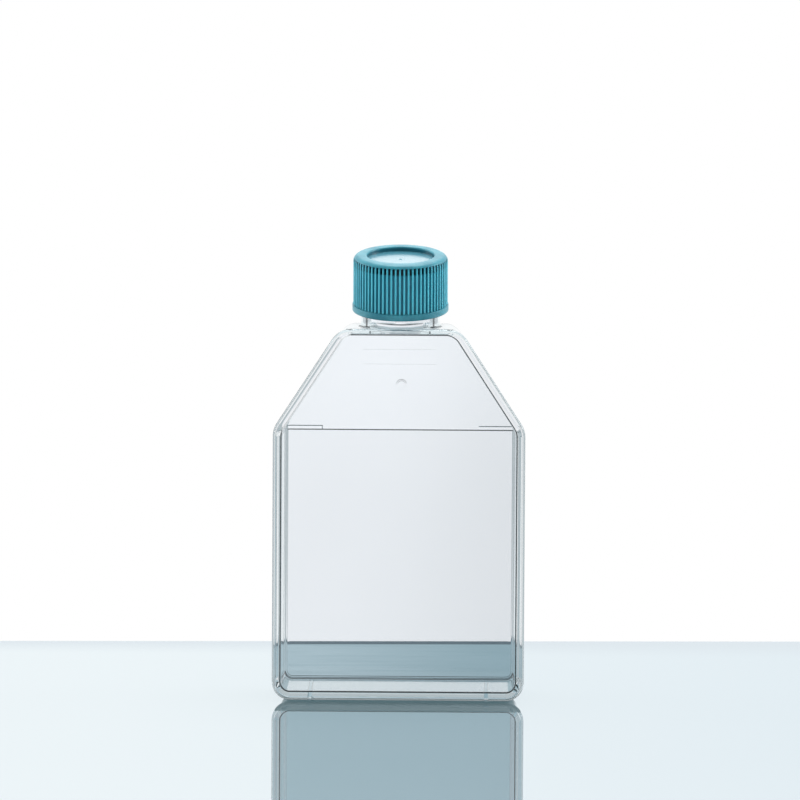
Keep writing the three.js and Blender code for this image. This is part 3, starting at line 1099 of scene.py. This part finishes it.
    def lid_tone(self, place: Vector, normal: Vector, inward: bool) -> float | None:
        """The painted shade of the lid's pad, its step, its outer edge and its inner one under the neck, and
        painted light on the step along the left slope.
        """
        above = place.z - self.shoulder_top
        low, high = self.pad_span
        on_pad = abs(place.x) < self.pad_width / 2 and low - 0.1 < place.z < high + 0.1
        if on_pad and place.y < self.panel and abs(normal.z) > 0.1:
            return self.shades.pad
        if inward and self.front < place.y < self.panel - 0.005:
            left_slope = normal.x > 0.1 and normal.z < -0.2 and place.z > self.hip_height - 6
            return self.shades.lit if left_slope else self.shades.step
        outer_edge = not inward and place.y < self.front + self.lid_edge_radius
        if outer_edge and 0.02 < -normal.y < 0.6 and above < -1:
            if normal.x < -0.3 and place.z > self.foot_radius:
                return self.shades.slope if normal.z > 0.2 else self.shades.side
            return self.shades.side if normal.x > 0.9 else 0.0
        if inward and -3 < above and place.y < self.weld + 0.31 and normal.z < -0.2 and abs(place.x) < 17:
            return self.shades.top
        return None

    def tray_tone(self, place: Vector, normal: Vector, inward: bool) -> float | None:
        """The shade of the foot rim, the stand ribs, the tray's lower inner edge and the bead."""
        if place.y > self.plate_outer + 0.02:
            if place.z > self.ramp_start - 2:
                return self.shades.returns
            low_rim = place.z < self.foot_radius + 3 and abs(normal.z) > 0.25
            return self.shades.rim if low_rim else self.shades.rim_faint * self.shades.rim
        rib = abs(abs(place.x) - self.rib_spacing / 2) < self.rib_width / 2 + 0.05
        behind_flange = place.y > self.weld + self.flange_thickness
        if rib and place.z < self.stand_gap + self.flange_reach and behind_flange:
            return self.shades.rib
        fillet = self.plate_inner - self.inner_edge_radius
        if fillet - 0.02 < place.y < fillet + 0.5 and place.z < self.foot_radius + 2 and inward:
            return self.shades.rim
        bead = self.bead_radius
        if abs(place.z - self.ramp_start) < bead and abs(place.y - self.plate_inner) < bead:
            return self.shades.bead
        return None

    def neck_tone(self, place: Vector, normal: Vector, _inward: bool) -> float | None:
        """The shade of the bore's sides, the collar's root and the line round the collar."""
        above = place.z - self.shoulder_top
        near = place.y < self.neck.origin.y - above * math.tan(self.cant)
        if near and above > -2 and abs(place.x) < self.bore_radius + 0.1 and 0.885 < abs(normal.x) < 0.918:
            return self.shades.bore
        if place.y < 0 and 0.05 < normal.z < 0.98 and 0 < above < 0.4 and abs(place.x) > 10:
            return self.shades.bore
        if 1.0 < above < 1.8 and normal.y < -0.5 and abs(place.x) < 9.5:
            return self.shades.arc * (1 - (place.x / 9.5) ** 2)
        return None

    def edge_shade(self, place: Vector, normal: Vector) -> float:
        """How dark or how lit a face looks as an edge of the clear body.

        Args:
            place: The face's middle.
            normal: Its normal.

        Returns:
            From 0, clear, to 1, dark; 2 for lit; below 0 for dark from outside only.
        """
        gate = self.gate_tone(place)
        if gate is not None:
            return gate
        if abs(normal.y) > 0.985:
            on_rim = place.y > self.feet - 0.02 and place.z < self.foot_radius + 2
            return self.shades.rim_flat * self.shades.rim if on_rim else 0.0
        middle = Vector((0, place.y, self.shoulder_height / 2))
        inward = normal.dot(place - middle) < 0
        for tone in (self.foot_tone, self.lid_tone, self.tray_tone, self.neck_tone):
            shade = tone(place, normal, inward)
            if shade is not None:
                return shade
        return 0.0

    def build(self) -> bpy.types.Object:
        """Builds the shell and puts it in place of the two CAD nodes.

        Returns:
            The shell.
        """
        ribs = [self.stand_rib(side) for side in (-1, 1)]
        shell = self.outside().joined(self.foot_rim(), *ribs, *self.neck_outside(), *self.lid_marks())
        shell = shell.cut(self.hollow(), self.weld_void()).joined(self.bead(), self.thread()).cut(self.bore())
        made = shell.piece("flask_shell", self.finish.material(), 24, self.edge_shade)
        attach(made, "flask")
        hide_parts("flask_body", "top_plate")
        return made


def helix(wall_radius: float, depth: float, turns: float, start: float, pitch: float, root: float,
          crest: float, steps_per_turn: int = 120) -> Solid:
    """A helical ridge about Z whose ends run out into the wall it stands on.

    Args:
        wall_radius: The wall's radius.
        depth: The ridge's height, negative where it points inward.
        turns: Its length in turns.
        start: Height of its lower end.
        pitch: Rise in one turn.
        root: Width where it leaves the wall.
        crest: Width at its crest.
        steps_per_turn: Fineness.

    Returns:
        The ridge.
    """
    steps = round(turns * steps_per_turn)
    fade = steps_per_turn / 8
    inner = wall_radius - math.copysign(OVERLAP, depth)
    rings = []
    for i in range(steps + 1):
        angle = 2 * math.pi * i / steps_per_turn
        strength = min(1.0, (i + 1) / fade, (steps - i + 1) / fade)
        outer = wall_radius + depth * strength
        shape = [(inner, -root / 2), (outer, -crest / 2), (outer, crest / 2), (inner, root / 2)]
        height = start + pitch * i / steps_per_turn
        rings.append([Vector((r * math.cos(angle), r * math.sin(angle), height + h)) for r, h in shape])
    return Solid.skin(rings)


# ---- Cap ----


@dataclass
class ScrewCap:
    """The ribbed screw cap. Millimetres along and from the neck's axis."""

    neck: NeckFrame
    rib_count: int = 68
    groove_depth: float = 0.7
    pocket_depth: float = 1.2
    pocket_height: float = 2.4
    band_height: float = 2.1
    band_step: float = 0.3
    edge_radius: float = 2.0
    rib_top_gap: float = 1.0
    pocket_run: float = 0.5
    recess_radius: float = 11.1
    recess_depth: float = 1.55
    recess_edge: float = 0.5
    deck: float = 1.6
    thread_wall: float = 14.15
    mouth_chamfer: float = 0.45
    thread_depth: float = 1.1
    thread_turns: float = 1.75
    thread_start: float = 3.4
    thread_pitch: float = 4.0
    thread_root: float = 1.5
    thread_crest: float = 0.9
    thread_turned: float = 126.0
    gate_radius: float = 0.4
    gate_ring_radius: float = 1.5
    rib_shares: tuple[tuple[float, float], ...] = (
        (-0.5, 1), (-0.4, 1), (-0.35, 0.95), (-0.29, 0.62), (-0.23, 0.2), (-0.13, 0.04),
        (0.0, 0), (0.13, 0.04), (0.23, 0.2), (0.29, 0.62), (0.35, 0.95), (0.4, 1),
    )
    finish: SatinTeal = field(default_factory=SatinTeal)

    def __post_init__(self) -> None:
        """Takes height, place and radius from the CAD cap."""
        self.low, high, self.band_radius = self.neck.span("cap")
        self.height = high - self.low
        self.crest = self.band_radius - self.band_step

    def row(self, height: float, radius: float, depth: float = 0.0) -> Ring:
        """One ring of the skin.

        Args:
            height: Height above the cap's lower edge.
            radius: Radius at the rib crests.
            depth: How deep the grooves are there.

        Returns:
            The ring's points.
        """
        ring = []
        for rib in range(self.rib_count):
            for share, drop in self.rib_shares:
                angle = 2 * math.pi * (rib + share) / self.rib_count
                r = radius - depth * drop
                ring.append(Vector((r * math.cos(angle), r * math.sin(angle), height)))
        return ring

    def rows(self) -> list[Ring]:
        """The skin from the deck's underside, down the inside and up the outside, to the recess."""
        wall, chamfer, band, crest = self.thread_wall, self.mouth_chamfer, self.band_radius, self.crest
        floor = self.height - self.recess_depth
        rib_top = self.height - self.rib_top_gap
        pocket = rib_top - self.pocket_height
        rows = [self.row(floor - self.deck, r) for r in (1.0, wall - 0.4)]
        rows += [self.row(h, r) for r, h in quarter(wall - 0.4, floor - self.deck - 0.4, 0.4, 90, 0, 4)]
        rows += [self.row(chamfer, wall), self.row(0, wall + chamfer), self.row(0, band - 0.25)]
        rows += [self.row(h, r) for r, h in quarter(band - 0.25, 0.25, 0.25, -90, 0, 4)]
        rows += [self.row(h, r) for r, h in quarter(band - 0.2, self.band_height - 0.2, 0.2, 0, 80, 4)]
        rows += [
            self.row(self.band_height, crest, self.groove_depth * 0.6),
            self.row(self.band_height + 0.12, crest, self.groove_depth),
            self.row(pocket - 0.01, crest, self.groove_depth),
            self.row(pocket + 0.04, crest, self.pocket_depth),
        ]
        edge = self.edge_radius
        for r, h in quarter(crest - edge, self.height - edge, edge, 0, 90, 16):
            depth = self.pocket_depth * min(1.0, max(0.0, (rib_top - h) / self.pocket_run))
            rows.append(self.row(h, r, depth))
        inner, edge = self.recess_radius, self.recess_edge
        rows += [self.row(h, r) for r, h in quarter(inner + edge, self.height - edge, edge, 90, 180, 6)]
        rows += [self.row(h, r) for r, h in quarter(inner - 0.25, floor + 0.25, 0.25, 0, -90, 4)]
        ring, gate = self.gate_ring_radius, self.gate_radius
        rows += [self.row(floor, inner - 0.8), self.row(floor, ring + 1.2),
                 self.row(floor, ring + 0.25), self.row(floor + 0.02, ring), self.row(floor, ring - 0.25),
                 self.row(floor, gate + 0.1), self.row(floor + 0.12, gate), self.row(floor + 0.2, gate * 0.6)]
        return rows

    def build(self) -> list[bpy.types.Object]:
        """Builds cap and thread and puts them in place of the CAD node.

        Returns:
            The two pieces.
        """
        place = self.neck.matrix() @ Matrix.Translation((0, 0, self.low))
        finish = self.finish.material(self.neck.origin * MM, self.neck.axis, self.low * MM,
                                      (self.low + self.height) * MM, self.crest * MM, self.groove_depth * MM,
                                      self.recess_radius * MM)
        cap = Solid.skin(self.rows()).moved(place).piece("screw_cap", finish, 30)
        turn = Matrix.Rotation(math.radians(self.thread_turned), 4, "Z")
        ridge = helix(self.thread_wall, -self.thread_depth, self.thread_turns, self.thread_start,
                      self.thread_pitch, self.thread_root, self.thread_crest)
        thread = ridge.moved(place @ turn).piece("cap_thread", finish, 30)
        for piece in (cap, thread):
            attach(piece, "cap")
        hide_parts("cap")
        return [cap, thread]


@dataclass
class Liner:
    """The sealing disc under the cap's deck, which keeps its CAD shape."""

    finish: LinerFoam = field(default_factory=LinerFoam)

    def build(self) -> bpy.types.Object:
        """Dresses the CAD node."""
        node = frame["nodes"]["cap_liner"]
        node.data.materials.clear()
        node.data.materials.append(self.finish.material())
        return node


# ---- Studio: table, backdrop, light and camera ----


@dataclass(frozen=True)
class Surroundings:
    """What clear parts see through them: a bright backdrop straight behind, and dark beside it."""

    bright: Colour = (0.955, 0.965, 0.985, 1.0)
    dim_right: float = 0.90
    lift_far: float = 1.10
    side: Colour = (0.45, 0.51, 0.53, 1.0)
    dark: Colour = (0.05, 0.056, 0.06, 1.0)
    within: Colour = (0.97, 1.0, 1.0, 1.0)
    within_dark: Colour = (0.42, 0.47, 0.50, 1.0)
    mirrored: Colour = (0.37, 0.50, 0.545, 1.0)
    mirrored_right: float = 0.84
    mirrored_top: float = 0.148
    cone: float = 15.0
    fade: float = 5.0
    board_angle: float = 147.0
    board_half: float = 14.0
    board_reach: float = 62.0

    def spread(self, x: Value, y: Value, z: Value) -> Value:
        """How far a direction is from straight back.

        Args:
            x: The direction's part to the right.
            y: Its part to the back.
            z: Its part upward.

        Returns:
            The angle, in degrees.
        """
        aside = (x * x + (z + 0.08) ** 2.0) ** 0.5
        return aside.math("ARCTAN2", y) * (180 / math.pi)

    def open_mask(self, x: Value, y: Value, z: Value) -> Value:
        """1 towards the backdrop and towards the pale board up to the left, and 0 elsewhere."""
        spread = self.spread(x, y, z)
        straight = 1.0 - spread.rise(self.cone, self.cone + self.fade)
        turn = z.math("ARCTAN2", x) * (180 / math.pi)
        board = 1.0 - (turn - self.board_angle).size().rise(self.board_half, self.board_half + 6)
        return straight.or_(board * (1.0 - spread.rise(self.board_reach, self.board_reach + 10)))


@dataclass
class Studio:
    """The table, what surrounds it, the lamps and the camera. Metres."""

    around: Surroundings = field(default_factory=Surroundings)
    room: Colour = grey(0.1)
    table_edge: float = 0.157
    table_depth: float = 3.0
    table_width: float = 2.4
    table_turn: float = 0.055
    table_tone: Colour = paint(233, 241, 245)
    shine_left: Colour = paint(233, 241, 244)
    shine_right: Colour = paint(221, 232, 238)
    shine_far: Colour = paint(218, 227, 233)
    seen_left: Colour = paint(187, 207, 215)
    seen_right: Colour = paint(150, 177, 187)
    seen_streak: Colour = paint(146, 170, 180)
    seen_grain: Colour = paint(136, 162, 171)
    edge_line: Colour = paint(92, 106, 115)
    edge_width: float = 0.0105
    pool_half: float = 0.045
    lift: float = 0.2
    lamps: tuple[tuple[str, tuple[float, float, float], float, float], ...] = (
        ("top", (0.1, 0.35, 1.3), 0.9, 9.0), ("back", (0.0, 1.5, 0.85), 0.8, 1.0),
        ("left", (-1.2, 0.3, 0.5), 0.7, 3.5), ("right", (1.2, 0.2, 0.6), 0.7, 5.0),
    )
    distance: float = 2.5
    camera_height: float = 0.307
    camera_side: float = 0.00003
    azimuth: float = 0.7
    pitch: float = 4.7636
    roll: float = 0.33
    lens: float = 340.2

    def plane(self, name: str, corners: Sequence[tuple[float, float]], z: float,
              finish: bpy.types.Material) -> bpy.types.Object:
        """A flat stage piece.

        Args:
            name: Its name.
            corners: Its corners, anticlockwise.
            z: Its height.
            finish: Its material.

        Returns:
            The object.
        """
        mesh = bpy.data.meshes.new(name)
        mesh.from_pydata([(x, y, z) for x, y in corners], [], [tuple(range(len(corners)))])
        mesh.materials.append(finish)
        made = placed(name, mesh)
        return made

    def table_finish(self) -> bpy.types.Material:
        """Glossy pale table top, with painted shade where it is seen through the clear body."""
        graph = Graph.of_material("table top")
        ray = Ray(graph)
        x, y, _ = graph.parts(graph.place())
        streak = graph.noise(9, (0.12, 1, 1), detail=4.0, roughness=0.6)
        # painted shade: only through the clear body, the table is a darker teal pool, painted in for the
        # flask's shadow and dimmed reflection
        edge = (y - x * self.table_turn - self.table_edge + self.edge_width).rise(0.0, 0.002)
        pool = graph.mix(x.rise(-self.pool_half, self.pool_half), self.seen_left, self.seen_right)
        pool = graph.mix(streak.rise(0.3, 0.7) * 0.45, pool, self.seen_streak)
        grain = graph.noise(110, (0.14, 1, 1), detail=4.0, roughness=0.65)
        pool = graph.mix(grain.rise(0.35, 0.7) * 0.35, pool, self.seen_grain)
        pool = graph.mix(edge, pool, self.edge_line)
        beside = (x.size() - y * 0.3).rise(0.06, 0.1)
        pool = graph.mix(beside * 0.8 * (1.0 - ray.bounced), pool, self.around.side)
        seen = graph.glow(pool)
        lift = graph.mix(ray.camera, grey(0.0), dimmed(self.table_tone, self.lift))
        body = graph.principled(**{"Base Color": self.table_tone, "Roughness": 1.0, "Specular IOR Level": 0.0,
                                   "Emission Color": lift, "Emission Strength": 1.0})
        normal = graph.bump(streak, 0.00006)
        left, right, far = (
            graph.node("ShaderNodeBsdfGlossy", Color=tone, Roughness=0.02, Normal=normal).outputs[0]
            for tone in (self.shine_left, self.shine_right, self.shine_far)
        )
        gloss = graph.blend(y.rise(0.11, 0.157), graph.blend(x.rise(-0.15, 0.2), left, right), far)
        facing = graph.value("ShaderNodeLayerWeight", out="Facing", Blend=0.5)
        share = graph.value("ShaderNodeMapRange", {"clamp": True}, Value=facing,
                            **{"From Min": 0.45, "From Max": 0.87, "To Min": 0.12, "To Max": 0.93})
        top = graph.blend(share, body, gloss)
        return graph.surface(graph.blend(ray.through, top, seen))

    def backdrop_tone(self, graph: Graph, x: Value, far: Value) -> bpy.types.NodeSocket:
        """The backdrop's colour through the clear body.

        Args:
            graph: The graph to work in.
            x: Place or direction to the right, from 0 at the left edge to 1 at the right one.
            far: 0 low behind the flask and 1 high behind it.

        Returns:
            The colour.
        """
        around = self.around
        level = (1.0 - x * (1 - around.dim_right)) * (1.0 + far * (around.lift_far - 1))
        return graph.scaled(around.bright[:3], level)

    def sweep_finish(self) -> bpy.types.Material:
        """White floor beyond the table."""
        graph = Graph.of_material("white sweep")
        ray = Ray(graph)
        x, y, _ = graph.parts(graph.place())
        around = self.around
        open_to = 1.0 - (x.size() - y * 0.27).rise(0.06, 0.12)
        tone = self.backdrop_tone(graph, x.rise(-0.03, 0.06), y.rise(0.3, 2.0))
        tone = graph.mix(ray.bounced * 0.8, tone, around.within)
        seen = graph.mix(open_to, graph.mix(ray.bounced, around.side, around.within_dark), tone)
        white, through = graph.glow(grey(1.0)), graph.glow(seen)
        flat = graph.node("ShaderNodeBsdfDiffuse", Color=grey(0.8)).outputs[0]
        shown = graph.blend(ray.diffuse, white, flat)
        return graph.surface(graph.blend(ray.through, shown, through))

    def world(self) -> None:
        """Soft light from all round, white where the camera sees it."""
        made = bpy.data.worlds.new("studio")
        bpy.context.scene.world = made
        graph = Graph(made)
        ray = Ray(graph)
        x, y, z = graph.parts(graph.node("ShaderNodeTexCoord").outputs["Generated"])
        around = self.around
        tone = self.backdrop_tone(graph, x.rise(-0.02, 0.04), 1.0)
        low = 1.0 - (z - around.mirrored_top).rise(-0.006, 0.006)
        mirrored = graph.mix(x.rise(-0.01, 0.035), around.mirrored,
                             dimmed(around.mirrored, around.mirrored_right))
        tone = graph.mix(ray.bounced, tone, graph.mix(low, around.within, mirrored))
        beside = graph.mix(around.spread(x, y, z).rise(55.0, 80.0), around.side, around.dark)
        dark = graph.mix(ray.bounced, beside, around.within_dark)
        seen = graph.mix(around.open_mask(x, y, z), dark, tone)
        light = graph.mix((y * 0.5 + z * 0.35 + 0.5).rise(0.0, 1.0), grey(0.42), grey(0.95))
        shine = graph.mix((y + 0.3).rise(0.0, 0.5), self.room, grey(1.0))
        shown = graph.mix(ray.glossy, graph.mix(ray.camera, light, grey(1.0)), shine)
        light_in = graph.node("ShaderNodeBackground", Color=graph.mix(ray.through, shown, seen)).outputs[0]
        graph.surface(light_in, "ShaderNodeOutputWorld")

    def lamp(self, name: str, place: tuple[float, float, float], size: float, watts: float) -> None:
        """A square soft lamp that points at the flask."""
        data = bpy.data.lights.new(name, "AREA")
        data.shape, data.size, data.energy = "SQUARE", size, watts
        made = placed(name, data)
        made.location = place
        made.rotation_euler = (Vector((0, 0, 0.08)) - Vector(place)).to_track_quat("-Z", "Y").to_euler()
        made.visible_camera = False
        made.visible_transmission = False

    def camera(self) -> None:
        """The camera, level with the shoulder and far off."""
        data = bpy.data.cameras.new("camera")
        data.lens, data.sensor_width = self.lens, 36
        data.clip_start, data.clip_end = 0.1, 50
        turn = math.radians(self.azimuth)
        made = placed("camera", data)
        made.location = (
            self.distance * math.sin(turn) + self.camera_side * math.cos(turn),
            -self.distance * math.cos(turn) + self.camera_side * math.sin(turn),
            self.camera_height,
        )
        aim = Matrix.Rotation(turn, 4, "Z") @ Matrix.Rotation(math.radians(90 - self.pitch), 4, "X")
        made.rotation_euler = (aim @ Matrix.Rotation(math.radians(self.roll), 4, "Z")).to_euler()
        bpy.context.scene.camera = made

    def build(self) -> None:
        """Builds the studio."""
        self.camera()
        half, front, turn = self.table_width / 2, self.table_edge - self.table_depth, self.table_turn
        table = [(-half, front), (half, front), (half, self.table_edge + half * turn),
                 (-half, self.table_edge - half * turn)]
        self.plane("table", table, 0.0, self.table_finish())
        self.plane("sweep", [(-4, -4), (4, -4), (4, 4), (-4, 4)], -0.004, self.sweep_finish())
        self.world()
        for lamp in self.lamps:
            self.lamp(*lamp)
        bpy.context.scene.view_settings.view_transform = "Standard"


def main() -> None:
    """Builds the studio and every piece of the flask."""
    logging.basicConfig(level=logging.INFO, format="%(message)s")
    neck = NeckFrame.of_joint("cap_turn")
    Studio().build()
    shell = FlaskBody(neck).build()
    log.info("%s: %d faces", shell.name, len(shell.data.polygons))
    for piece in ScrewCap(neck).build():
        log.info("%s: %d faces", piece.name, len(piece.data.polygons))
    log.info("%s dressed", Liner().build().name)


if __name__ == "__main__":
    main()
